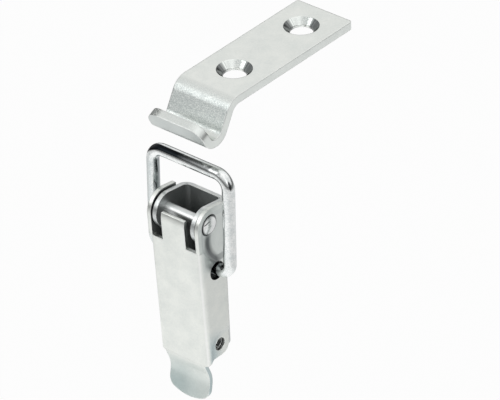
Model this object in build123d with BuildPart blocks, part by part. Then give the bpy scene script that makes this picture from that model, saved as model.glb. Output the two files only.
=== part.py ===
from build123d import *

import os
from math import cos, radians, sin, tan

# Over centre toggle latch: a folded base, a folded lever turning on a rivet, a wire
# bail hung in the lever, and the hooked keeper that the bail pulls on.
# X runs across the latch, +Y points into the mounting surface and +Z points up.
# The origin lies midway between the base's screw holes, on its mounting face.

# Stock
BASE_SHEET = 1.1
LEVER_SHEET = 1.0
KEEPER_SHEET = 2.0
WIRE = 3.0  # diameter of the bail's round wire
BASE_FOLD = 1.2  # inside radius of the base's folds
LEVER_FOLD = 0.6  # inside radius of the lever's folds

# Clearances
SIDE_GAP = 0.35  # base ear to the lever wall outside it
STOP_GAP = 0.3  # shut lever to the base's lower ears
EAR_STEP = 0.25  # how far the base ears stay inside the lever ears' outline
RIVET_FIT = 0.02  # radial, rivet in the base
RIVET_PLAY = 0.06  # radial, rivet in the lever
HEAD_PLAY = 0.05  # rivet head to the lever wall
BAIL_PLAY = 0.7  # radial, wire in the lever's holes
BAIL_SET = 0.3  # bail pulled up and back in its holes

# Rivet and ears
PIVOT_DEPTH = 7.8  # mounting face to rivet axis
PIVOT_HEIGHT = 16.5
RIVET_DIAMETER = 2.5
RIVET_HEAD_DIAMETER = 4.6
RIVET_HEAD_RIM = 0.25
RIVET_HEAD_DOME = 0.3
EAR_BACK = 0.4  # ear arc's centre behind the rivet
EAR_DROP = 0.6  # base ear arc's centre below the rivet
EAR_LIFT = 0.3  # lever ear arc's centre above the base's
EAR_SLOPE = 8.0  # degrees, fall of the ears' top edge toward the mounting face

# Base
SCREW_PITCH = 16.0
SCREW_HOLE_DIAMETER = 4.3
BASE_FOOT = 19.2  # origin down to the base's lower edge
FLANGE_DEPTH = 2.8  # mounting face to the low flange between the ears
UNDERCUT_ANGLE = 38.0  # degrees, ear's lower edge from the vertical
LOWER_EAR_HEIGHT = 7.0
FLANGE_BLEND = 2.5
LOWER_EAR_ROUND = 1.5

# Lever
LEVER_WIDTH = 15.0
RIVET_TO_FRONT = 4.2
LEVER_LEAN = 2.4  # degrees, the front face comes nearer the mounting face going down
WALL_BACK = 3.0  # mounting face to the lever walls' rear edge
WALL_FOOT = 19.9  # origin down to the lever walls' lower edge
FRONT_FOOT = 21.2  # origin down to where the walls' folds run out
WALL_FOOT_ROUND = 2.4
TONGUE_WIDTH = 6.8
TONGUE_TOP = 1.3  # above the rivet
SHOULDER_DROP = 6.0  # rivet down to the notches beside the tongue
NOTCH_ROUND = 0.3
PAD_DEPTH = 0.4  # pressed seats in the lever walls' outer faces
PAD_SLOPE = 75.0  # degrees from the wall's normal, side of a seat
PAD_RIM = 1.2  # ear's edge to the rivet's seat
PAD_ROUND = 3.0
HEAD_SEAT_PLAY = 0.3  # radial, round the rivet's head
LOCK_HOLE_DEPTH = 6.0  # mounting face to the padlock hole
LOCK_HOLE_DROP = 16.8  # origin down to the padlock hole
LOCK_HOLE_DIAMETER = 3.2
LOCK_PAD_REACH = 3.7  # padlock hole's centre to the edge of its seat

# Thumb tab
TAB_WIDTH = 11.8
TAB_DIP = 1.6  # how far the tab's hollow lies behind the front face
TAB_DIP_DROP = 4.4  # FRONT_FOOT down to the hollow
TAB_LENGTH = 10.8  # below FRONT_FOOT
TAB_FLARE = 1.3  # hollow forward to the tab's tip
TAB_CROWN = 1.6  # how far the tab's end bows down in the middle
TAB_CORNER = 2.4
TAB_BEND = 6.0

# Bail
BAIL_SPAN = 22.3  # between the legs' centre lines
BAIL_FOOT_DEPTH = 5.9  # mounting face to the bail's axis
BAIL_FOOT_HEIGHT = 3.9
BAIL_REACH = 25.2  # bail's axis to its top bar
BAIL_LEAN = 0.9  # top bar's set back toward the mounting face
BAIL_TOP_BEND = 3.3
BAIL_FOOT_BEND = 2.8
BAIL_TAIL = 0.5  # wire end past the lever wall's inner face
BAIL_END_CHAMFER = 0.3

# Keeper
KEEPER_WIDTH = 16.0
KEEPER_TOP = 45.3  # origin up to the plate's top face
KEEPER_FAR = 42.8  # mounting face back to the plate's far edge
KEEPER_HOLE_PITCH = 23.3
KEEPER_HOLE_EDGE = 8.3  # far edge to the first hole
KEEPER_HOLE_DIAMETER = 5.4
KEEPER_SINK_DIAMETER = 8.2
SINK_ANGLE = 90.0
HOOK_KNEE = 0.7  # mounting face back to where plate and riser would meet, on the top face
HOOK_RISER_ANGLE = 30.0  # degrees from the vertical
HOOK_DROP = 7.35  # plate's top face down to the hook's floor
HOOK_FLOOR = 2.7  # along the floor, between riser and lip
HOOK_LIP_ANGLE = 25.0  # degrees from the vertical
HOOK_LIP_RISE = 4.9
HOOK_PLAY = 0.4  # hook's inside radius over the wire's
KNEE_RADIUS = 4.4  # on the top face
LIP_CORNER = 3.5
KEEPER_END_CORNER = 0.6

QUARTER_TURN = 90.0
HOOK_RADIUS = WIRE / 2 + HOOK_PLAY
LEVER_INNER = LEVER_WIDTH - 2 * LEVER_SHEET
BASE_WIDTH = LEVER_INNER - 2 * SIDE_GAP
BEND_LINE = LEVER_FOLD + LEVER_SHEET  # lever's edge to the flat of its front face
PIVOT = (-PIVOT_DEPTH, PIVOT_HEIGHT)
LOCK_HOLE = (-LOCK_HOLE_DEPTH, -LOCK_HOLE_DROP)
BAIL_FOOT = (-BAIL_FOOT_DEPTH, BAIL_FOOT_HEIGHT)
BAIL_HOLE = (-BAIL_FOOT_DEPTH - BAIL_SET, BAIL_FOOT_HEIGHT - BAIL_SET)
BASE_EAR = (-PIVOT_DEPTH + EAR_BACK, PIVOT_HEIGHT - EAR_DROP)
LEVER_EAR = (-PIVOT_DEPTH + EAR_BACK, PIVOT_HEIGHT - EAR_DROP + EAR_LIFT)


def lever_front(height, behind=0.0):
    """Y of the lever's leaning front face at a height, or of a plane parallel to it."""
    lean = tan(radians(LEVER_LEAN))
    return -PIVOT_DEPTH - RIVET_TO_FRONT + (PIVOT_HEIGHT - height) * lean + behind


def tangent_leg(radius, turn):
    """Distance from a corner to where its round starts."""
    return radius * tan(radians(turn / 2))


LEVER_EAR_RADIUS = (LEVER_EAR[0] - lever_front(LEVER_EAR[1])) * cos(radians(LEVER_LEAN))
BASE_EAR_RADIUS = LEVER_EAR_RADIUS - EAR_STEP


def ear_corner(centre, radius):
    """Where an ear's front and top edges would meet without their round."""
    rise = tangent_leg(radius, QUARTER_TURN + EAR_SLOPE)
    return (centre[0] - radius, centre[1] + rise)


def ear_top(centre, radius, depth):
    """Height of an ear's sloping top edge at a depth."""
    front, height = ear_corner(centre, radius)
    return height - (depth - front) * tan(radians(EAR_SLOPE))


# Base: a channel whose ears hold the rivet above and the padlock below.
with BuildPart() as base:
    with BuildSketch(Plane.XY.offset(-BASE_FOOT)):
        with BuildLine():
            FilletPolyline(
                (-BASE_WIDTH / 2, -PIVOT_DEPTH - RIVET_TO_FRONT),
                (-BASE_WIDTH / 2, 0),
                (BASE_WIDTH / 2, 0),
                (BASE_WIDTH / 2, -PIVOT_DEPTH - RIVET_TO_FRONT),
                radius=BASE_FOLD + BASE_SHEET,
            )
            offset(amount=BASE_SHEET, side=Side.RIGHT)
        make_face()
    extrude(amount=BASE_FOOT + ear_corner(BASE_EAR, BASE_EAR_RADIUS)[1])

    front, corner_height = ear_corner(BASE_EAR, BASE_EAR_RADIUS)
    undercut_height = BASE_EAR[1] - tangent_leg(BASE_EAR_RADIUS, UNDERCUT_ANGLE)
    undercut_drop = (-FLANGE_DEPTH - front) / tan(radians(UNDERCUT_ANGLE))
    stop = lever_front(-BASE_FOOT, LEVER_SHEET + STOP_GAP)
    with BuildSketch(Plane.YZ):
        with BuildLine():
            FilletPolyline(
                (0, ear_top(BASE_EAR, BASE_EAR_RADIUS, 0)),
                (front, corner_height),
                (front, undercut_height),
                (-FLANGE_DEPTH, undercut_height - undercut_drop),
                (-FLANGE_DEPTH, LOWER_EAR_HEIGHT - BASE_FOOT),
                (stop, LOWER_EAR_HEIGHT - BASE_FOOT),
                (stop, -BASE_FOOT),
                (0, -BASE_FOOT),
                radius=[
                    0,
                    BASE_EAR_RADIUS,
                    BASE_EAR_RADIUS,
                    FLANGE_BLEND,
                    FLANGE_BLEND,
                    LOWER_EAR_ROUND,
                    LOWER_EAR_ROUND,
                    0,
                ],
                close=True,
            )
        make_face()
    extrude(amount=BASE_WIDTH / 2, both=True, mode=Mode.INTERSECT)

    with BuildSketch(Plane.YZ):
        with Locations(PIVOT):
            Circle(RIVET_DIAMETER / 2 + RIVET_FIT)
        with Locations(LOCK_HOLE):
            Circle(LOCK_HOLE_DIAMETER / 2)
    extrude(amount=BASE_WIDTH / 2, both=True, mode=Mode.SUBTRACT)

    with BuildSketch(Plane.XZ):
        with GridLocations(0, SCREW_PITCH, 1, 2):
            Circle(SCREW_HOLE_DIAMETER / 2)
    extrude(amount=BASE_SHEET, mode=Mode.SUBTRACT)

base.part.label = "base"


# Thumb tab: the lever's front sheet runs on below the walls, dips and flares forward.
tab_top = BEND_LINE - FRONT_FOOT
tab_end = -FRONT_FOOT - TAB_LENGTH
hollow = lever_front(-FRONT_FOOT - TAB_DIP_DROP, TAB_DIP)
with BuildPart() as thumb_tab:
    with BuildSketch(Plane.YZ):
        with BuildLine():
            FilletPolyline(
                (lever_front(tab_top), tab_top),
                (lever_front(-FRONT_FOOT), -FRONT_FOOT),
                (hollow, -FRONT_FOOT - TAB_DIP_DROP),
                (hollow - TAB_FLARE, tab_end),
                radius=[TAB_BEND, TAB_BEND],
            )
            offset(amount=LEVER_SHEET, side=Side.LEFT)
        make_face()
    extrude(amount=TAB_WIDTH / 2, both=True)

    with BuildSketch(Plane.XZ) as tab_outline:
        with BuildLine():
            Polyline(
                (-TAB_WIDTH / 2, tab_end + TAB_CROWN),
                (-TAB_WIDTH / 2, tab_top),
                (TAB_WIDTH / 2, tab_top),
                (TAB_WIDTH / 2, tab_end + TAB_CROWN),
            )
            ThreePointArc(
                (-TAB_WIDTH / 2, tab_end + TAB_CROWN),
                (0, tab_end),
                (TAB_WIDTH / 2, tab_end + TAB_CROWN),
            )
        make_face()
        fillet(tab_outline.vertices().group_by(Axis.Y)[0], radius=TAB_CORNER)
    extrude(amount=PIVOT_DEPTH + RIVET_TO_FRONT, mode=Mode.INTERSECT)


# Lever: a channel open toward the base, with ears on the rivet and a tongue between.
shoulder = PIVOT_HEIGHT - SHOULDER_DROP
lever_rise = ear_corner(LEVER_EAR, LEVER_EAR_RADIUS)[1]
lean_dir = (0, -sin(radians(LEVER_LEAN)), cos(radians(LEVER_LEAN)))
face_out = (0, -cos(radians(LEVER_LEAN)), -sin(radians(LEVER_LEAN)))
front_plane = Plane((0, lever_front(shoulder), shoulder), x_dir=(1, 0, 0), z_dir=face_out)
section_plane = Plane((0, lever_front(lever_rise), lever_rise), x_dir=(1, 0, 0), z_dir=lean_dir)
lever_depth = -WALL_BACK - lever_front(lever_rise)

with BuildSketch(Plane.YZ) as wall_outline:
    with BuildLine():
        FilletPolyline(
            (-WALL_BACK, ear_top(LEVER_EAR, LEVER_EAR_RADIUS, -WALL_BACK)),
            (lever_front(lever_rise), lever_rise),
            (lever_front(-FRONT_FOOT), -FRONT_FOOT),
            (lever_front(-WALL_FOOT, BEND_LINE), -WALL_FOOT),
            (-WALL_BACK, -WALL_FOOT),
            radius=[NOTCH_ROUND, LEVER_EAR_RADIUS, 0, BEND_LINE, WALL_FOOT_ROUND],
            close=True,
        )
    make_face()

# Seats pressed into the outer faces of both walls, open toward their rear edges.
pad_front, pad_top = ear_corner(LEVER_EAR, LEVER_EAR_RADIUS - PAD_RIM)
bail_top = BAIL_HOLE[1] + WIRE / 2 + BAIL_PLAY
with BuildPart() as wall_pads:
    with BuildSketch(Plane.YZ.offset(LEVER_WIDTH / 2)):
        with BuildLine():
            FilletPolyline(
                (0, ear_top(LEVER_EAR, LEVER_EAR_RADIUS - PAD_RIM, 0)),
                (pad_front, pad_top),
                (pad_front, shoulder),
                (BAIL_HOLE[0], bail_top),
                (0, bail_top),
                radius=[0, LEVER_EAR_RADIUS - PAD_RIM, PAD_ROUND, PAD_ROUND, 0],
                close=True,
            )
        make_face()
    extrude(amount=-PAD_DEPTH, taper=PAD_SLOPE)

    with BuildSketch(Plane.YZ.offset(LEVER_WIDTH / 2)):
        with BuildLine():
            FilletPolyline(
                (0, LOCK_PAD_REACH - LOCK_HOLE_DROP),
                (-LOCK_HOLE_DEPTH - LOCK_PAD_REACH / 2, LOCK_PAD_REACH - LOCK_HOLE_DROP),
                (-LOCK_HOLE_DEPTH - LOCK_PAD_REACH, -LOCK_HOLE_DROP),
                (-LOCK_HOLE_DEPTH - LOCK_PAD_REACH, -LOCK_HOLE_DROP - 2 * LOCK_PAD_REACH),
                (0, -LOCK_HOLE_DROP - 2 * LOCK_PAD_REACH),
                radius=[0, PAD_ROUND, PAD_ROUND, 0, 0],
                close=True,
            )
        make_face()
    extrude(amount=-PAD_DEPTH, taper=PAD_SLOPE)

    with BuildSketch(Plane.YZ.offset(LEVER_WIDTH / 2)):
        with Locations(PIVOT):
            Circle(RIVET_HEAD_DIAMETER / 2 + HEAD_SEAT_PLAY)
    extrude(amount=-PAD_DEPTH)
    mirror(about=Plane.YZ)

with BuildPart() as lever:
    with BuildSketch(section_plane):
        with BuildLine():
            FilletPolyline(
                (-LEVER_WIDTH / 2, lever_depth),
                (-LEVER_WIDTH / 2, 0),
                (LEVER_WIDTH / 2, 0),
                (LEVER_WIDTH / 2, lever_depth),
                radius=BEND_LINE,
            )
            offset(amount=LEVER_SHEET, side=Side.LEFT)
        make_face()
    extrude(amount=-(lever_rise + FRONT_FOOT) / cos(radians(LEVER_LEAN)))
    with BuildSketch(Plane.YZ):
        add(wall_outline.sketch_local)
    extrude(amount=LEVER_WIDTH / 2, both=True, mode=Mode.INTERSECT)

    with BuildSketch(front_plane):
        Rectangle(LEVER_WIDTH, lever_rise, align=(Align.CENTER, Align.MIN))
        Rectangle(
            TONGUE_WIDTH,
            SHOULDER_DROP + TONGUE_TOP,
            align=(Align.CENTER, Align.MIN),
            mode=Mode.SUBTRACT,
        )
    extrude(amount=-BEND_LINE, mode=Mode.SUBTRACT)

    with BuildSketch(Plane.YZ.offset(LEVER_INNER / 2)):
        add(wall_outline.sketch_local)
        with Locations((-WALL_BACK, shoulder)):
            Rectangle(
                2 * lever_rise,
                lever_rise,
                align=(Align.CENTER, Align.MIN),
                mode=Mode.INTERSECT,
            )
    ears = extrude(amount=LEVER_SHEET)
    mirror(ears, about=Plane.YZ)
    add(thumb_tab.part)

    with BuildSketch(Plane.YZ):
        with Locations(PIVOT):
            Circle(RIVET_DIAMETER / 2 + RIVET_PLAY)
        with Locations(LOCK_HOLE):
            Circle(LOCK_HOLE_DIAMETER / 2)
        with Locations(BAIL_HOLE):
            Circle(WIRE / 2 + BAIL_PLAY)
    extrude(amount=LEVER_WIDTH / 2, both=True, mode=Mode.SUBTRACT)
    add(wall_pads.part, mode=Mode.SUBTRACT)

lever.part.label = "lever"


# Rivet: a plain shank with a low domed head outside each lever wall.
with BuildPart() as pivot_rivet:
    with BuildSketch(Plane((0, *PIVOT))):
        head_seat = LEVER_WIDTH / 2 - PAD_DEPTH + HEAD_PLAY
        head_top = head_seat + RIVET_HEAD_RIM + RIVET_HEAD_DOME
        with BuildLine():
            Polyline(
                (head_top, 0),
                (0, 0),
                (0, RIVET_DIAMETER / 2),
                (head_seat, RIVET_DIAMETER / 2),
                (head_seat, RIVET_HEAD_DIAMETER / 2),
                (head_seat + RIVET_HEAD_RIM, RIVET_HEAD_DIAMETER / 2),
            )
            TangentArc(
                (head_top, 0),
                (head_seat + RIVET_HEAD_RIM, RIVET_HEAD_DIAMETER / 2),
                tangent=(0, 1),
                tangent_from_first=True,
            )
        make_face()
    revolve(axis=Axis((0, *PIVOT), (1, 0, 0)))
    mirror(about=Plane.YZ)

pivot_rivet.part.label = "pivot_rivet"


# Bail: one length of round wire, bent to a loop with its ends turned into the lever.
with BuildPart() as bail:
    tail = LEVER_INNER / 2 - BAIL_TAIL
    leg = BAIL_SPAN / 2
    foot_depth, foot_height = BAIL_FOOT
    bar_depth = foot_depth + BAIL_LEAN
    bar_height = foot_height + BAIL_REACH
    with BuildLine() as bail_path:
        FilletPolyline(
            (-tail, foot_depth, foot_height),
            (-leg, foot_depth, foot_height),
            (-leg, bar_depth, bar_height),
            (leg, bar_depth, bar_height),
            (leg, foot_depth, foot_height),
            (tail, foot_depth, foot_height),
            radius=[BAIL_FOOT_BEND, BAIL_TOP_BEND, BAIL_TOP_BEND, BAIL_FOOT_BEND],
        )
    with BuildSketch(Plane((-tail, foot_depth, foot_height), z_dir=(-1, 0, 0))):
        Circle(WIRE / 2)
    sweep(path=bail_path.line)

bail.part.label = "bail"


# Keeper: a strip with countersunk screw holes, bent down and up again into a hook.
hook_floor = KEEPER_TOP - HOOK_DROP
floor_back = HOOK_KNEE - HOOK_DROP * tan(radians(HOOK_RISER_ANGLE))
floor_front = floor_back - HOOK_FLOOR
lip_end = floor_front - HOOK_LIP_RISE * tan(radians(HOOK_LIP_ANGLE))
with BuildPart() as keeper:
    with BuildSketch(Plane.YZ):
        with BuildLine():
            FilletPolyline(
                (KEEPER_FAR, KEEPER_TOP),
                (HOOK_KNEE, KEEPER_TOP),
                (floor_back, hook_floor),
                (floor_front, hook_floor),
                (lip_end, hook_floor + HOOK_LIP_RISE),
                radius=[KNEE_RADIUS, HOOK_RADIUS, HOOK_RADIUS],
            )
            offset(amount=KEEPER_SHEET, side=Side.LEFT)
        make_face()
    extrude(amount=KEEPER_WIDTH / 2, both=True)

    lip_normal = (0, cos(radians(HOOK_LIP_ANGLE)), sin(radians(HOOK_LIP_ANGLE)))
    lip_corners = keeper.edges().filter_by(Axis((0, 0, 0), lip_normal))
    fillet(lip_corners, radius=LIP_CORNER)
    end_corners = keeper.faces().sort_by(Axis.Y)[-1].edges().filter_by(Axis.Z)
    fillet(end_corners, radius=KEEPER_END_CORNER)

    first_hole = KEEPER_FAR - KEEPER_HOLE_EDGE - KEEPER_HOLE_PITCH / 2
    with Locations(Plane((0, first_hole, KEEPER_TOP))):
        with GridLocations(0, KEEPER_HOLE_PITCH, 1, 2):
            CounterSinkHole(
                radius=KEEPER_HOLE_DIAMETER / 2,
                counter_sink_radius=KEEPER_SINK_DIAMETER / 2,
                depth=KEEPER_SHEET,
                counter_sink_angle=SINK_ANGLE,
            )

keeper.part.label = "keeper"


os.makedirs("parts", exist_ok=True)
for piece in (base, lever, pivot_rivet, bail, keeper):
    export_step(piece.part, f"parts/{piece.part.label}.step")
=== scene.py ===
import math

import bpy
from mathutils import Matrix, Vector


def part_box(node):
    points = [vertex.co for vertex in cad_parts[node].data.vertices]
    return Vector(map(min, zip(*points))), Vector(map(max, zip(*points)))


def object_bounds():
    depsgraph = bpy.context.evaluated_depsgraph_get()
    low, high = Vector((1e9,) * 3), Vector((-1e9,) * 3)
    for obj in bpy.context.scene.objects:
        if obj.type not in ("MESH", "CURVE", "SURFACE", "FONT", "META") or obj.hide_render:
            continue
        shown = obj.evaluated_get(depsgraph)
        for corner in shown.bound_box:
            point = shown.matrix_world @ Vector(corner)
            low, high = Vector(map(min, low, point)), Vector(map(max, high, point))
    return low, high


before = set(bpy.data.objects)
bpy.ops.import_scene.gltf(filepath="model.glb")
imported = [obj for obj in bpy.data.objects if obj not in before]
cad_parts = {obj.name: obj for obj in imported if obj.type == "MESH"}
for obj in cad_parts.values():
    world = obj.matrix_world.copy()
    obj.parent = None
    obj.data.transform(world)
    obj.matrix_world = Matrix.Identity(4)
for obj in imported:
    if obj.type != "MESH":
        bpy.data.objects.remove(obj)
cad_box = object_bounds()
MM = 0.001


# The view. A long lens looks down on the latch from its front right, with the
# surface that it is screwed to behind it.
VIEW_AZIMUTH = math.radians(41.79)
VIEW_ELEVATION = math.radians(33.06)
VIEW_ROLL = math.radians(-2.68)
VIEW_DISTANCE = 1000 * MM
VIEW_SHIFT_RIGHT = 17.364 * MM
VIEW_SHIFT_UP = 4.638 * MM
VIEW_ORIGIN = Vector((0, -12, 17)) * MM
FRAME_WIDTH = 500
PIXELS_PER_MM = 4.49
FIELD_AT_LATCH = FRAME_WIDTH / PIXELS_PER_MM * MM
SENSOR = 36
NEAREST = 0.05
FARTHEST = 10

away = Vector((
    math.sin(VIEW_AZIMUTH) * math.cos(VIEW_ELEVATION),
    -math.cos(VIEW_AZIMUTH) * math.cos(VIEW_ELEVATION),
    math.sin(VIEW_ELEVATION),
))
level = Vector((math.cos(VIEW_AZIMUTH), math.sin(VIEW_AZIMUTH), 0))
upright = away.cross(level)
image_right = math.cos(VIEW_ROLL) * level + math.sin(VIEW_ROLL) * upright
image_up = -math.sin(VIEW_ROLL) * level + math.cos(VIEW_ROLL) * upright
framing = VIEW_SHIFT_RIGHT * image_right + VIEW_SHIFT_UP * image_up
eye = VIEW_ORIGIN + framing + VIEW_DISTANCE * away

camera = bpy.data.objects.new("camera", bpy.data.cameras.new("camera"))
bpy.context.collection.objects.link(camera)
turn = Matrix((image_right, image_up, away)).transposed().to_4x4()
camera.matrix_world = Matrix.Translation(eye) @ turn
camera.data.sensor_width = SENSOR
camera.data.lens = SENSOR * VIEW_DISTANCE / FIELD_AT_LATCH
camera.data.clip_start = NEAREST
camera.data.clip_end = FARTHEST
bpy.context.scene.camera = camera


# The studio. Long soft boxes hang side by side over the latch between two dark
# horizons, with a dim panel on the right, three lamps, and a pale floor. In reflections
# the floor shows a painted pool of light, brightest in front of the lever.
STRIPS = (
    # degrees from the rear horizon over the top to the front one, and how bright
    (0, 0.10),
    (12, 0.20),
    (22, 0.82),
    (46, 0.86),
    (62, 0.74),
    (88, 0.78),
    (104, 1.00),
    (136, 0.95),
    (148, 0.72),
    (162, 0.50),
    (172, 0.26),
    (180, 0.14),
)
HALF_CIRCLE = 180
PANEL_START = 0.86  # across, where 1 is straight to the right
PANEL_END = 0.97
PANEL_DIM = 0.5
ROOM_LIGHT = 0.5
LAMPS = (
    # name, place, width and height in metres, and watts
    ("key_lamp", (-0.45, -0.75, 0.65), 0.6, 0.6, 1.6),
    ("fill_lamp", (0.75, -0.45, 0.35), 0.3, 0.5, 0.5),
    ("top_lamp", (0.1, 0.3, 0.9), 1.1, 1.1, 0.8),
)
FLOOR_DROP = 30 * MM  # below the latch, so that its shadow stays soft
FLOOR_SIZE = 3.0
FLOOR_TONE = (0.92, 0.92, 0.92, 1)
POOL_CENTRE = (-10 * MM, -70 * MM)
POOL_REACH = 0.6
POOL = (
    # metres from the centre, and how bright
    (0.0, 1.0),
    (0.085, 1.0),
    (0.107, 0.90),
    (0.13, 0.72),
    (0.157, 0.70),
    (0.28, 0.80),
    (0.4, 0.50),
    (POOL_REACH, 0.2),
)
SHADOW_SHARE = 0.05  # of the floor's own shade that the lens sees
WHITE = (1, 1, 1, 1)


def add(tree, kind, sockets=(), **settings):
    """A shader node with its settings, and its sockets given values or links."""
    node = tree.nodes.new("ShaderNode" + kind)
    for name, value in settings.items():
        setattr(node, name, value)
    for name, value in dict(sockets).items():
        if isinstance(value, bpy.types.NodeSocket):
            tree.links.new(value, node.inputs[name])
        else:
            node.inputs[name].default_value = value
    return node


def math_node(tree, operation, *values):
    """The result of one step of arithmetic."""
    return add(tree, "Math", enumerate(values), operation=operation).outputs["Value"]


def apart(tree, first, second):
    """How far one place is from another."""
    return add(
        tree, "VectorMath", {0: first, 1: second}, operation="DISTANCE",
    ).outputs["Value"]


def span(tree, value, low, high, start=0.0, end=1.0):
    """A value carried from one span to another and held at its ends."""
    return add(tree, "MapRange", {
        "Value": value, "From Min": low, "From Max": high, "To Min": start, "To Max": end,
    }).outputs["Result"]


def grey_ramp(tree, value, stops):
    """A grey that follows a value from 0 to 1 through stops of (place, brightness)."""
    ramp = add(tree, "ValToRGB", {"Fac": value})
    points = ramp.color_ramp.elements
    for point, (place, bright) in zip((points[0], points[1]), (stops[0], stops[-1])):
        point.position = place
        point.color = (bright, bright, bright, 1)
    for place, bright in stops[1:-1]:
        points.new(place).color = (bright, bright, bright, 1)
    return ramp.outputs["Color"]


def blend(tree, share, first, second):
    """One shader turning into another."""
    return add(tree, "MixShader", {
        0: share, 1: first.outputs[0], 2: second.outputs[0],
    })


world = bpy.data.worlds.new("room")
bpy.context.scene.world = world
world.use_nodes = True
tree = world.node_tree
tree.nodes.clear()
where = add(tree, "TexCoord")
gaze = add(tree, "SeparateXYZ", {"Vector": where.outputs["Generated"]}).outputs
over = math_node(tree, "ARCTAN2", gaze["Z"], gaze["Y"])
strips = grey_ramp(
    tree,
    math_node(tree, "DIVIDE", over, math.pi),
    [(degrees / HALF_CIRCLE, bright) for degrees, bright in STRIPS],
)
panel = span(tree, gaze["X"], PANEL_START, PANEL_END, 1.0, PANEL_DIM)
mirrored = add(tree, "Background", {"Color": strips, "Strength": panel})
room = add(tree, "Background", {"Color": WHITE, "Strength": ROOM_LIGHT})
backdrop = add(tree, "Background", {"Color": WHITE})
path = add(tree, "LightPath").outputs
lighting = blend(tree, path["Is Glossy Ray"], room, mirrored)
seen = blend(tree, path["Is Camera Ray"], lighting, backdrop)
add(tree, "OutputWorld", {"Surface": seen.outputs[0]})

for name, place, width, height, watts in LAMPS:
    light = bpy.data.lights.new(name, "AREA")
    light.shape = "RECTANGLE"
    light.size = width
    light.size_y = height
    light.energy = watts
    holder = bpy.data.objects.new(name, light)
    bpy.context.collection.objects.link(holder)
    toward_latch = (-Vector(place)).to_track_quat("-Z", "Y").to_matrix().to_4x4()
    holder.matrix_world = Matrix.Translation(Vector(place)) @ toward_latch

half = FLOOR_SIZE / 2
floor_height = cad_box[0][2] - FLOOR_DROP
floor_mesh = bpy.data.meshes.new("floor")
floor_mesh.from_pydata(
    [(x, y, floor_height) for x, y in (
        (-half, -half), (half, -half), (half, half), (-half, half),
    )],
    [],
    [(0, 1, 2, 3)],
)
floor = bpy.data.objects.new("floor", floor_mesh)
bpy.context.collection.objects.link(floor)
paint = bpy.data.materials.new("floor_paint")
paint.use_nodes = True
tree = paint.node_tree
tree.nodes.clear()
where = add(tree, "TexCoord")
from_pool = apart(tree, where.outputs["Object"], (*POOL_CENTRE, floor_height))
pool = grey_ramp(
    tree,
    math_node(tree, "DIVIDE", from_pool, POOL_REACH),
    [(distance / POOL_REACH, bright) for distance, bright in POOL],
)
matt = add(tree, "BsdfDiffuse", {"Color": FLOOR_TONE})
glow = add(tree, "Emission", {"Color": WHITE})
# painted pool of light: in reflections the floor glows, brightest near the pool's centre
lit = add(tree, "Emission", {"Color": pool})
path = add(tree, "LightPath").outputs
shown = math_node(tree, "MULTIPLY", path["Is Camera Ray"], 1 - SHADOW_SHARE)
viewed = blend(tree, shown, matt, glow)
painted = blend(tree, path["Is Glossy Ray"], viewed, lit)
add(tree, "OutputMaterial", {"Surface": painted.outputs[0]})
floor.data.materials.append(paint)


# The base. Folded from 1.1 mm steel strip after it was pierced, and plated with zinc
# in a barrel. The inside of the channel is rougher than its outer faces, and painted
# darker as painted shade.
BASE_PALE = (0.80, 0.82, 0.80)
BASE_DULL = (0.64, 0.67, 0.67)
CHANNEL_HALF_WIDTH = 5.1 * MM
CHANNEL_FLOOR = 1.05 * MM  # in front of the case, just short of the web's inner face
CHANNEL_SHADE = (0.40, 0.42, 0.42)
CHANNEL_ROUGHNESS = 0.45
EDGE_HIGHLIGHT = (0.96, 0.97, 0.95)
GAP_SHADE = (0.05, 0.055, 0.055)

CLOUD_SHARE = 0.6  # of the plate's pattern, and the grain has the rest
PATTERN_SPAN = (0.36, 0.64)
EDGE_SPAN = (0.995, 0.88)  # cosine between a face and its rounded edge
GAP_SPAN = (0.6, 0.15)  # share of the room's light that gets in
RELIEF_STRENGTH = 0.6
SAMPLES = 8


def mix(tree, factor, first, second):
    """One colour turning into another."""
    return add(
        tree, "Mix", {0: factor, 6: first, 7: second}, data_type="RGBA",
    ).outputs[2]


def noise(tree, place, scale, detail=2.0, roughness=0.5):
    """Soft noise over a place, from 0 to 1."""
    return add(tree, "TexNoise", {
        "Vector": place, "Scale": scale, "Detail": detail, "Roughness": roughness,
    }).outputs["Fac"]


def cosine_to(tree, direction, side):
    """How squarely a direction points to one side."""
    return add(
        tree, "VectorMath", {0: direction, 1: side}, operation="DOT_PRODUCT",
    ).outputs["Value"]


def unsigned(tree, value):
    """A value without its sign."""
    return math_node(tree, "ABSOLUTE", value)


def both_of(tree, *masks):
    """Masks multiplied together."""
    share = masks[0]
    for mask in masks[1:]:
        share = math_node(tree, "MULTIPLY", share, mask)
    return share


def new_group(name, inputs, outputs):
    """An empty shader group with its sockets, and its ends."""
    group = bpy.data.node_groups.new(name, "ShaderNodeTree")
    for label, kind, value in inputs:
        socket = group.interface.new_socket(
            label, in_out="INPUT", socket_type="NodeSocket" + kind,
        )
        if value is not None:
            socket.default_value = value
    for label, kind in outputs:
        group.interface.new_socket(
            label, in_out="OUTPUT", socket_type="NodeSocket" + kind,
        )
    given = group.nodes.new("NodeGroupInput").outputs
    found = group.nodes.new("NodeGroupOutput").inputs
    return group, given, found


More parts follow.
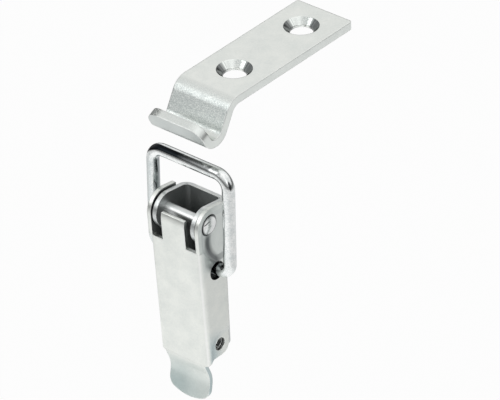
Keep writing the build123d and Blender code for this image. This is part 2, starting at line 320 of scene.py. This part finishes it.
def zinc_group():
    """Zinc plate. Clouds and grain, both noise, pick between the dull and the pale tone
    and between the rough and the smooth polish, and the grain is also the height."""
    group, given, found = new_group(
        "zinc_plate",
        (
            ("Vector", "Vector", None),
            ("Pale", "Color", (0.84, 0.86, 0.82, 1)),
            ("Dull", "Color", (0.70, 0.74, 0.73, 1)),
            ("Cloud Scale", "Float", 250.0),
            ("Grain Scale", "Float", 2500.0),
            ("Smooth", "Float", 0.25),
            ("Rough", "Float", 0.4),
        ),
        (("Color", "Color"), ("Roughness", "Float"), ("Height", "Float")),
    )
    cloud = noise(group, given["Vector"], given["Cloud Scale"], detail=3.0, roughness=0.6)
    grain = noise(group, given["Vector"], given["Grain Scale"])
    pattern = math_node(
        group, "ADD",
        math_node(group, "MULTIPLY", cloud, CLOUD_SHARE),
        math_node(group, "MULTIPLY", grain, 1 - CLOUD_SHARE),
    )
    steady = span(group, pattern, *PATTERN_SPAN)
    tone = mix(group, steady, given["Dull"], given["Pale"])
    gloss = span(group, steady, 0.0, 1.0, given["Rough"], given["Smooth"])
    group.links.new(tone, found["Color"])
    group.links.new(gloss, found["Roughness"])
    group.links.new(grain, found["Height"])
    return group


def edge_group():
    """Tumbled edges, for a painted highlight, and the gaps beside them, for painted shade.
    The normal is averaged over a small radius, and where it leaves the face's own normal
    the edge mask rises; the gap mask rises where little room light gets in."""
    group, given, found = new_group(
        "rounded_edge_and_gap_shade",
        (("Radius", "Float", 0.2 * MM), ("Gap Reach", "Float", 1.3 * MM)),
        (("Normal", "Vector"), ("Edge", "Float"), ("Gap", "Float")),
    )
    rounded = add(
        group, "Bevel", {"Radius": given["Radius"]}, samples=SAMPLES,
    ).outputs["Normal"]
    own = add(group, "NewGeometry").outputs["Normal"]
    room = add(
        group, "AmbientOcclusion", {"Distance": given["Gap Reach"]}, samples=SAMPLES,
    ).outputs["AO"]
    edge = span(group, cosine_to(group, rounded, own), *EDGE_SPAN)
    group.links.new(rounded, found["Normal"])
    group.links.new(edge, found["Edge"])
    group.links.new(span(group, room, *GAP_SPAN), found["Gap"])
    return group


ZINC = zinc_group()
EDGE = edge_group()


def zinc_steel(
    name, pale, dull, smooth, rough,
    cloud=4 * MM, grain=0.4 * MM, relief=0.012 * MM, edge=0.2 * MM,
):
    """Zinc plated steel with its own tones, polish and grain. Returns the material, its
    tree, its shader and the sockets that later detail builds on."""
    material = bpy.data.materials.new(name)
    material.use_nodes = True
    tree = material.node_tree
    shader = tree.nodes["Principled BSDF"]
    shader.inputs["Metallic"].default_value = 1.0
    place = add(tree, "TexCoord").outputs
    plate = add(tree, "Group", node_tree=ZINC)
    for label, value in (
        ("Pale", (*pale, 1)), ("Dull", (*dull, 1)), ("Smooth", smooth), ("Rough", rough),
        ("Cloud Scale", 1 / cloud), ("Grain Scale", 1 / grain),
    ):
        plate.inputs[label].default_value = value
    tree.links.new(place["Object"], plate.inputs["Vector"])
    edge_and_gap = add(tree, "Group", node_tree=EDGE)
    edge_and_gap.inputs["Radius"].default_value = edge
    bump = add(tree, "Bump", {
        "Strength": RELIEF_STRENGTH, "Distance": relief,
        "Height": plate.outputs["Height"], "Normal": edge_and_gap.outputs["Normal"],
    })
    tree.links.new(plate.outputs["Color"], shader.inputs["Base Color"])
    tree.links.new(plate.outputs["Roughness"], shader.inputs["Roughness"])
    tree.links.new(bump.outputs["Normal"], shader.inputs["Normal"])
    return {
        "material": material,
        "tree": tree,
        "shader": shader.inputs,
        "place": place,
        "color": plate.outputs["Color"],
        "roughness": plate.outputs["Roughness"],
        "edge": edge_and_gap.outputs["Edge"],
        "gap": edge_and_gap.outputs["Gap"],
        "at": add(tree, "SeparateXYZ", {"Vector": place["Object"]}).outputs,
        "facing": add(tree, "SeparateXYZ", {"Vector": place["Normal"]}).outputs,
    }


def tint(steel, mask, color, share):
    """Lays a share of a second tone over the metal where a mask is high."""
    tree = steel["tree"]
    laid = math_node(tree, "MULTIPLY", mask, share)
    steel["color"] = mix(tree, laid, steel["color"], (*color, 1))
    tree.links.new(steel["color"], steel["shader"]["Base Color"])


def polish(steel, mask, roughness):
    """Carries the roughness to another value where a mask is high."""
    tree = steel["tree"]
    node = add(tree, "Mix", {0: mask, 2: steel["roughness"], 3: roughness})
    steel["roughness"] = node.outputs[0]
    tree.links.new(steel["roughness"], steel["shader"]["Roughness"])


def finish(node, steel):
    """Gives a CAD node its finish."""
    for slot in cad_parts[node].material_slots:
        slot.material = steel["material"]


base_steel = zinc_steel("base_zinc", BASE_PALE, BASE_DULL, smooth=0.26, rough=0.42)
tree, at = base_steel["tree"], base_steel["at"]
inside = both_of(
    tree,
    math_node(tree, "LESS_THAN", unsigned(tree, at["X"]), CHANNEL_HALF_WIDTH),
    math_node(tree, "LESS_THAN", at["Y"], -CHANNEL_FLOOR),
)
# painted shade: the inside of the channel is painted darker
tint(base_steel, inside, CHANNEL_SHADE, share=0.8)
polish(base_steel, inside, CHANNEL_ROUGHNESS)
# painted highlight: the edges are painted paler
tint(base_steel, base_steel["edge"], EDGE_HIGHLIGHT, share=0.7)
tint(base_steel, base_steel["gap"], GAP_SHADE, share=0.9)
finish("base", base_steel)


# The lever. One sheet folded to a channel with its tongue and thumb tab, then tumbled
# and plated. Its folds and edges are painted brighter, as painted highlights. The seats
# were pressed into its walls last; the dark arc and darker slopes beside them are painted
# shade.
LEVER_PALE = (0.87, 0.89, 0.85)
LEVER_DULL = (0.80, 0.83, 0.80)

# How far a face turns sideways, as the cosine to the side, to count as each form.
WALL_TURN = (0.8, 0.95)
SLOPE_FROM_FOLD = (0.90, 0.95)
SLOPE_TO_WALL = (0.992, 0.975)
FOLD_FROM_FRONT = (0.45, 0.6)
FOLD_TO_WALL = (0.8, 0.68)
SHADE_ARC_TURN = (0.8, 0.9)
SLOPE_TO_REAR = (-0.12, -0.03)  # how far a slope turns back, away from the front
INNER_FRONT_TURN = 0.9
INNER_WALL_DEPTH = 0.5 * MM

SLOPE_SHADE = (0.40, 0.44, 0.44)
SEAT_HEIGHT = (3 * MM, 6 * MM)
SEAT_TONE = (0.60, 0.66, 0.66)
SHADE_ARC_CENTRE = (0, -1.5 * MM, 12 * MM)  # of the painted arc of shade
SHADE_ARC_RADIUS = 7.0 * MM
SHADE_ARC_WIDTH = (1.4 * MM, 0.3 * MM)
SHADE_ARC_TOP = (14.6 * MM, 13.2 * MM)
SHADE_ARC_FOOT = (4.5 * MM, 6 * MM)
SHADE_ARC_BACK = (-4.5 * MM, -6 * MM)
SHADE_ARC_TONE = (0.14, 0.15, 0.155)
FOOT_HEIGHT = (-11 * MM, -16 * MM)
FOOT_DEPTH = (-5 * MM, -8 * MM)
FOOT_SHADE = (0.45, 0.55, 0.57)
FOLD_HIGHLIGHT = (1.0, 1.0, 0.99)
TAB_SHADE_HEIGHT = (-21 * MM, -29 * MM)
TAB_SHADE_ACROSS = (5 * MM, -3 * MM, 0.45, 1.0)  # paler to the right
TAB_SHADE = (0.36, 0.47, 0.47)
INNER_SHADE = (0.22, 0.23, 0.23)
INNER_ROUGHNESS = 0.5
HEAD_SEAT = 2.62 * MM  # radius of the seat round the rivet's head
HEAD_SEAT_LINE = (HEAD_SEAT + 0.1 * MM, HEAD_SEAT - 0.06 * MM)
HEAD_SEAT_SHADE = (0.05, 0.055, 0.06)
WIRE_HOLE = (0, -6.2 * MM, 3.6 * MM)  # where the bail goes through
WIRE_HOLE_RADIUS = 2.25 * MM
WIRE_HOLE_RIM = (WIRE_HOLE_RADIUS + 0.12 * MM, WIRE_HOLE_RADIUS)
WIRE_HOLE_SHADE = (0.01, 0.01, 0.01)

low, high = (Vector(corner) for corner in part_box("pivot_rivet"))
pivot = (low + high) / 2


def side_on(steel):
    """A place seen from the side, with how far across left out."""
    return add(
        steel["tree"], "CombineXYZ", {1: steel["at"]["Y"], 2: steel["at"]["Z"]},
    ).outputs[0]


lever_steel = zinc_steel(
    "lever_zinc", LEVER_PALE, LEVER_DULL, smooth=0.3, rough=0.42, edge=0.3 * MM,
)
tree, at, facing = lever_steel["tree"], lever_steel["at"], lever_steel["facing"]
across = unsigned(tree, facing["X"])
on_wall = span(tree, across, *WALL_TURN)
flat_place = side_on(lever_steel)

slope = both_of(
    tree,
    span(tree, across, *SLOPE_FROM_FOLD),
    span(tree, across, *SLOPE_TO_WALL),
    span(tree, facing["Y"], *SLOPE_TO_REAR),
)
# painted shade: the seats' slopes that turn back are painted darker
tint(lever_steel, slope, SLOPE_SHADE, share=0.35)
seats = both_of(tree, on_wall, span(tree, at["Z"], *SEAT_HEIGHT))
# the walls are painted a darker, bluer tone from 3 mm up
tint(lever_steel, seats, SEAT_TONE, share=0.4)
off_arc = unsigned(
    tree, math_node(tree, "SUBTRACT", apart(tree, flat_place, SHADE_ARC_CENTRE), SHADE_ARC_RADIUS),
)
shade_arc = both_of(
    tree,
    span(tree, off_arc, *SHADE_ARC_WIDTH),
    span(tree, across, *SHADE_ARC_TURN),
    span(tree, at["Z"], *SHADE_ARC_TOP),
    span(tree, at["Z"], *SHADE_ARC_FOOT),
    span(tree, at["Y"], *SHADE_ARC_BACK),
)
# painted shade: a dark arc on each wall below the rivet
tint(lever_steel, shade_arc, SHADE_ARC_TONE, share=0.9)
foot = both_of(
    tree,
    on_wall,
    span(tree, at["Z"], *FOOT_HEIGHT),
    span(tree, at["Y"], *FOOT_DEPTH),
)
# painted shade: the lower front of each wall is painted darker and bluer
tint(lever_steel, foot, FOOT_SHADE, share=0.75)
fold = both_of(
    tree, span(tree, across, *FOLD_FROM_FRONT), span(tree, across, *FOLD_TO_WALL),
)
# painted highlight: the folds are painted paler
tint(lever_steel, fold, FOLD_HIGHLIGHT, share=0.6)
tab_shade = both_of(
    tree, span(tree, at["Z"], *TAB_SHADE_HEIGHT), span(tree, at["X"], *TAB_SHADE_ACROSS),
)
# painted shade: the thumb tab is painted darker and bluer towards its lower left
tint(lever_steel, tab_shade, TAB_SHADE, share=0.7)
faces_out = math_node(tree, "MULTIPLY", facing["X"], at["X"])
inner_wall = math_node(tree, "LESS_THAN", faces_out, -INNER_WALL_DEPTH)
inner_front = math_node(tree, "GREATER_THAN", facing["Y"], INNER_FRONT_TURN)
inner_faces = math_node(tree, "MAXIMUM", inner_wall, inner_front)
# painted shade: the inner faces of the walls and of the front are painted dark, and are
# rougher
tint(lever_steel, inner_faces, INNER_SHADE, share=0.85)
polish(lever_steel, inner_faces, INNER_ROUGHNESS)
# painted highlight: the edges are painted paler
tint(lever_steel, lever_steel["edge"], EDGE_HIGHLIGHT, share=0.6)
off_pivot = apart(tree, flat_place, (0, pivot.y, pivot.z))
tint(lever_steel, span(tree, off_pivot, *HEAD_SEAT_LINE), HEAD_SEAT_SHADE, share=0.95)
off_wire = apart(tree, flat_place, WIRE_HOLE)
tint(lever_steel, span(tree, off_wire, *WIRE_HOLE_RIM), WIRE_HOLE_SHADE, share=1.0)
tint(lever_steel, lever_steel["gap"], GAP_SHADE, share=0.9)
finish("lever", lever_steel)


# The rivet. A turned steel pin, headed cold on the outside of both walls. A short dark
# slanting line is painted across each head, and a dark line of painted shade round its
# rim.
RIVET_PALE = (0.98, 0.99, 0.98)
RIVET_DULL = (0.88, 0.90, 0.90)
HEAD_START = 7 * MM  # out from the middle, where the shank ends
RIM_WIDTH = 0.35 * MM
RIM_EDGE = 0.1 * MM
RIM_SHADE = (0.10, 0.11, 0.11)
SHANK_END = (HEAD_START, 6.5 * MM)
SHANK_TONE = (0.42, 0.45, 0.45)
SHANK_ROUGHNESS = 0.42
SLANT_LINE_CENTRE = Vector((0, -0.95, 0.95)) * MM  # from the pivot
SLANT_LINE_ANGLE = math.radians(13.5)
SLANT_LINE_HALF_LENGTH = (1.0 * MM, 0.8 * MM)
SLANT_LINE_HALF_WIDTH = (0.17 * MM, 0.068 * MM)
SLANT_LINE_TONE = (0.01, 0.01, 0.01)

rivet_steel = zinc_steel(
    "rivet_zinc", RIVET_PALE, RIVET_DULL, smooth=0.16, rough=0.3, edge=0.1 * MM,
)
tree = rivet_steel["tree"]
outward = unsigned(tree, rivet_steel["at"]["X"])
head_radius = (high.z - low.z) / 2
off_axis = apart(tree, side_on(rivet_steel), (0, pivot.y, pivot.z))
rim = span(tree, off_axis, head_radius - RIM_WIDTH, head_radius - RIM_EDGE)
# painted shade: a dark line round the rim of each head
tint(rivet_steel, rim, RIM_SHADE, share=0.8)
shank = span(tree, outward, *SHANK_END)
tint(rivet_steel, shank, SHANK_TONE, share=0.2)
polish(rivet_steel, shank, SHANK_ROUGHNESS)
spot = add(tree, "Mapping", {
    "Vector": rivet_steel["place"]["Object"],
    "Location": tuple(pivot + SLANT_LINE_CENTRE),
    "Rotation": (SLANT_LINE_ANGLE, 0, 0),
}, vector_type="TEXTURE")
off_slant_line = add(tree, "SeparateXYZ", {"Vector": spot.outputs["Vector"]}).outputs
slant_line = both_of(
    tree,
    span(tree, unsigned(tree, off_slant_line["Y"]), *SLANT_LINE_HALF_LENGTH),
    span(tree, unsigned(tree, off_slant_line["Z"]), *SLANT_LINE_HALF_WIDTH),
    math_node(tree, "GREATER_THAN", outward, HEAD_START),
)
# a short dark slanting line is painted across each head
tint(rivet_steel, slant_line, SLANT_LINE_TONE, share=1.0)
tint(rivet_steel, rivet_steel["gap"], GAP_SHADE, share=0.9)
finish("pivot_rivet", rivet_steel)


# The bail. Bright drawn wire, bent cold and plated. Its top bar runs in the hook. A dark,
# broken band along its upper front and a dark mark on one bend are painted reflections.
WIRE_PALE = (0.97, 0.98, 0.97)
WIRE_DULL = (0.76, 0.80, 0.80)
BAR_DEPTH = 3.4 * MM  # down from the top of the bail
BEND_DEPTH = 5.5 * MM
REFLECTED_SIDES = (Vector((-0.2, -0.6, 0.77)), Vector((-0.62, -0.44, 0.65)))
REFLECTED_TURN = (0.84, 0.9)
REFLECTED_FADE = 0.6 * MM
REFLECTED_ACROSS = (-3 * MM, 6 * MM, 1.0, 0.8)
REFLECTED_TONE = (0.008, 0.01, 0.012)
SOLID_ACROSS = (-6 * MM, 0.0, -0.25, 0.0)  # the band is unbroken on the left
BREAK_SCALE = 380.0
BREAK_SPAN = (0.38, 0.5, 0.3, 1.0)
BEND_REFLECTION_SIDE = Vector((0.83, -0.42, 0.36))
BEND_REFLECTION_TURN = (0.965, 0.985)
BEND_REFLECTION_FADE = 0.4 * MM
BEND_REFLECTION_TONE = (0.02, 0.025, 0.03)
LEFT_LEG_ACROSS = (-6 * MM, -7 * MM)
OUTER_LEG_TURN = (0.5, 0.3)
OUTER_LEG_SHADE = (0.66, 0.72, 0.72)
INNER_LEG_TURN = (0.62, 0.8)
INNER_LEG_TOP = 2.5 * MM
INNER_LEG_FULL = 4 * MM
INNER_LEG_SHADE = (0.20, 0.23, 0.24)
STUB_ACROSS = (10 * MM, 8.8 * MM)  # out to where the wire goes into the lever's holes
STUB_HEIGHT = (6.5 * MM, 5.5 * MM)
STUB_SHADE = (0.20, 0.22, 0.225)

bail_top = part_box("bail")[1][2]
bail_steel = zinc_steel(
    "bail_zinc", WIRE_PALE, WIRE_DULL, smooth=0.1, rough=0.24,
    cloud=1.2 * MM, grain=0.3 * MM, relief=0.03 * MM, edge=0.1 * MM,
)
tree, at, facing = bail_steel["tree"], bail_steel["at"], bail_steel["facing"]
normal = bail_steel["place"]["Normal"]
bar_foot = bail_top - BAR_DEPTH
bend_foot = bail_top - BEND_DEPTH

reflection_on_bar, reflection_on_bend = (
    span(tree, cosine_to(tree, normal, tuple(side.normalized())), *REFLECTED_TURN)
    for side in REFLECTED_SIDES
)
breaks = math_node(
    tree, "SUBTRACT",
    noise(tree, bail_steel["place"]["Object"], BREAK_SCALE),
    span(tree, at["X"], *SOLID_ACROSS),
)
bar_reflection = both_of(
    tree,
    math_node(tree, "MAXIMUM", reflection_on_bar, reflection_on_bend),
    span(tree, at["Z"], bar_foot, bar_foot + REFLECTED_FADE),
    span(tree, breaks, *BREAK_SPAN),
    span(tree, at["X"], *REFLECTED_ACROSS),
)
# painted reflection: the hook's dark underside, as a dark broken band along the bar
tint(bail_steel, bar_reflection, REFLECTED_TONE, share=1.0)
bend_side = cosine_to(tree, normal, tuple(BEND_REFLECTION_SIDE.normalized()))
bend_reflection = both_of(
    tree,
    span(tree, bend_side, *BEND_REFLECTION_TURN),
    span(tree, at["Z"], bend_foot, bend_foot + BEND_REFLECTION_FADE),
)
# painted reflection: a dark mark on the right bend
tint(bail_steel, bend_reflection, BEND_REFLECTION_TONE, share=0.9)
outer_leg = both_of(
    tree,
    span(tree, at["X"], *LEFT_LEG_ACROSS),
    span(tree, at["Z"], bar_foot, bend_foot),
    span(tree, facing["X"], *OUTER_LEG_TURN),
)
# painted shade: the left leg's outer side is painted darker and bluer below the bar
tint(bail_steel, outer_leg, OUTER_LEG_SHADE, share=0.5)
inner_leg = both_of(
    tree,
    span(tree, facing["X"], *INNER_LEG_TURN),
    math_node(tree, "LESS_THAN", at["X"], 0.0),
    span(tree, at["Z"], bail_top - INNER_LEG_TOP, bail_top - INNER_LEG_FULL),
)
# painted shade: the left leg's inner side, facing right, is painted dark below the top
tint(bail_steel, inner_leg, INNER_LEG_SHADE, share=0.75)
stub = both_of(
    tree,
    span(tree, unsigned(tree, at["X"]), *STUB_ACROSS),
    span(tree, at["Z"], *STUB_HEIGHT),
)
# painted shade: the wire is painted darker where it goes into the lever's holes
tint(bail_steel, stub, STUB_SHADE, share=0.85)
tint(bail_steel, bail_steel["gap"], GAP_SHADE, share=0.15)
finish("bail", bail_steel)


# The keeper. A 2 mm strip, pierced, countersunk and bent to a hook. The bend stretched
# the face of its riser to a coarser grain, painted dark there as a painted reflection. The
# lip is worn at one corner, and dark streaks at the sides of the countersinks are painted
# reflections.
KEEPER_PALE = (0.92, 0.94, 0.90)
KEEPER_DULL = (0.84, 0.87, 0.84)
GRIT_SCALE = 4200.0
RISER_FORWARD = (0.15, 0.75)
RISER_UP = (0.1, 0.3)
RISER_GRIT = (0.35, 0.62, 0.35, 1.0)
RISER_REFLECTION = (0.32, 0.36, 0.36)
LIP_FORWARD = (0.6, 0.85)
LIP_UP = (-0.2, -0.4)
LIP_SHADE = (0.58, 0.62, 0.61)
SHEARED_TURN = (0.4, 0.65)
SHEARED_HIGHLIGHT = (0.96, 1.0, 0.97)
WEAR_ACROSS = (-3.8 * MM, -5 * MM)
WEAR_START = 3 * MM  # in from the lip's front
WEAR_FULL = 2 * MM
WEAR_UP = (-0.1, 0.25)
WEAR_GRIT = (0.4, 0.55, 0.2, 1.0)
WEAR_TONE = (0.08, 0.09, 0.09)
HOLE_FROM_END = 8.3 * MM
HOLE_PITCH = 23.3 * MM
SINK_RADIUS = 4.15 * MM
SINK_ROUGHNESS = 0.12
# level and across the view, where the countersinks' painted reflection is darkest
SINK_REFLECTION_ACROSS = (0.7455, 0.6665, 0)
SINK_STREAK_SCALE = 9.0
SINK_STREAK_SHARE = 0.8
SINK_REFLECTION_SPAN = (0.95, 1.25)
SINK_REFLECTION_TONE = (0.05, 0.055, 0.06)

keeper_low, keeper_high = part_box("keeper")
keeper_steel = zinc_steel(
    "keeper_zinc", KEEPER_PALE, KEEPER_DULL, smooth=0.3, rough=0.42,
    relief=0.02 * MM, edge=0.35 * MM,
)
tree, at, facing = keeper_steel["tree"], keeper_steel["at"], keeper_steel["facing"]
up = facing["Z"]
forward = math_node(tree, "MULTIPLY", facing["Y"], -1.0)
grit = noise(tree, keeper_steel["place"]["Object"], GRIT_SCALE, roughness=0.7)

riser_grain_and_reflection = both_of(
    tree,
    span(tree, forward, *RISER_FORWARD),
    span(tree, up, *RISER_UP),
    span(tree, grit, *RISER_GRIT),
)
# painted reflection: the riser's face is painted dark in a coarse grain
tint(keeper_steel, riser_grain_and_reflection, RISER_REFLECTION, share=0.85)
lip_front = both_of(tree, span(tree, forward, *LIP_FORWARD), span(tree, up, *LIP_UP))
# painted shade: the lip's front, which faces down, is painted darker
tint(keeper_steel, lip_front, LIP_SHADE, share=0.85)
sheared = span(tree, unsigned(tree, facing["X"]), *SHEARED_TURN)
# painted highlight: the sheared sides are painted paler
tint(keeper_steel, sheared, SHEARED_HIGHLIGHT, share=0.85)
# painted highlight: the edges are painted paler
tint(keeper_steel, keeper_steel["edge"], EDGE_HIGHLIGHT, share=0.6)
lip_wear = both_of(
    tree,
    span(tree, at["X"], *WEAR_ACROSS),
    span(tree, at["Y"], keeper_low[1] + WEAR_START, keeper_low[1] + WEAR_FULL),
    span(tree, up, *WEAR_UP),
    span(tree, grit, *WEAR_GRIT),
)
tint(keeper_steel, lip_wear, WEAR_TONE, share=0.8)

seen_from_top = add(tree, "CombineXYZ", {0: at["X"], 1: at["Y"]}).outputs[0]
first_hole = keeper_high[1] - HOLE_FROM_END
for hole in (first_hole, first_hole - HOLE_PITCH):
    centre = (0, hole, 0)
    cone = math_node(tree, "LESS_THAN", apart(tree, seen_from_top, centre), SINK_RADIUS)
    polish(keeper_steel, cone, SINK_ROUGHNESS)
    out = add(
        tree, "VectorMath", {0: seen_from_top, 1: centre}, operation="SUBTRACT",
    ).outputs["Vector"]
    heading = add(tree, "VectorMath", {0: out}, operation="NORMALIZE").outputs["Vector"]
    streaks = math_node(
        tree, "MULTIPLY", noise(tree, heading, SINK_STREAK_SCALE), SINK_STREAK_SHARE,
    )
    flank = unsigned(tree, cosine_to(tree, heading, SINK_REFLECTION_ACROSS))
    sink_reflection = span(tree, math_node(tree, "ADD", flank, streaks), *SINK_REFLECTION_SPAN)
    # painted reflection: dark streaks at the sides of each countersink, broken up by noise
    tint(keeper_steel, both_of(tree, cone, sink_reflection), SINK_REFLECTION_TONE, share=0.85)
tint(keeper_steel, keeper_steel["gap"], GAP_SHADE, share=0.3)
finish("keeper", keeper_steel)


view = bpy.context.scene.view_settings
view.view_transform = "Standard"
